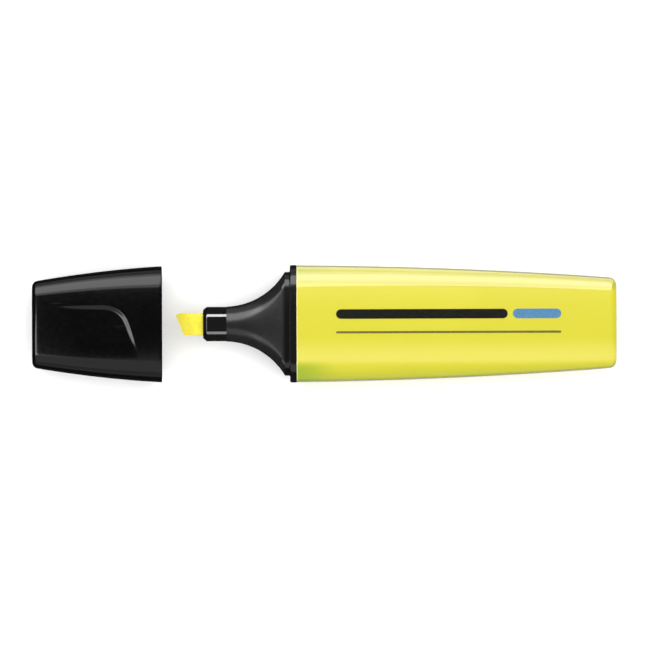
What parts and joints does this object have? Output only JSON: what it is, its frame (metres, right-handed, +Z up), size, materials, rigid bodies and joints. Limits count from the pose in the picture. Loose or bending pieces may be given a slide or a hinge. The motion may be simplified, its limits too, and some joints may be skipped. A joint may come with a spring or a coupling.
{
  "type": "highlighter pen",
  "caption": "Flat chisel-tip highlighter with a translucent tapered barrel, a flared black neck and a black pull-off cap lying in line in front of the nib.",
  "frame": {"origin": "on the table, under the middle of the box round the pen and the cap that lies in front of it", "axes": "+X along the pen from the cap towards the tail, +Y across the wide faces, +Z up through the thickness; the pen lies on a wide face"},
  "size_m": [0.1346, 0.027, 0.0171],
  "materials": {
    "barrel_plastic": "translucent fluorescent yellow, satin gloss",
    "section_plastic": "fine matt black",
    "holder_plastic": "glossy black",
    "nib_felt": "ink-soaked pressed felt",
    "reservoir_fibre": "ink-soaked fibre",
    "film_plastic": "clear thin film",
    "cap_plastic": "satin-gloss black",
    "seal_plastic": "soft dark grey"
  },
  "bodies": {
    "barrel": {"barrel_shell": "barrel_plastic", "front_section": "section_plastic", "nib_holder": "holder_plastic", "chisel_nib": "nib_felt", "ink_reservoir": "reservoir_fibre", "reservoir_film": "film_plastic"},
    "cap": {"cap_shell": "cap_plastic", "cap_inner_seal": "seal_plastic"}
  },
  "joints": [
    {"name": "cap_slide", "type": "slide", "parent": "barrel", "child": "cap", "axis": [1, 0, 0], "range_m": [0, 0.02945]}
  ]
}
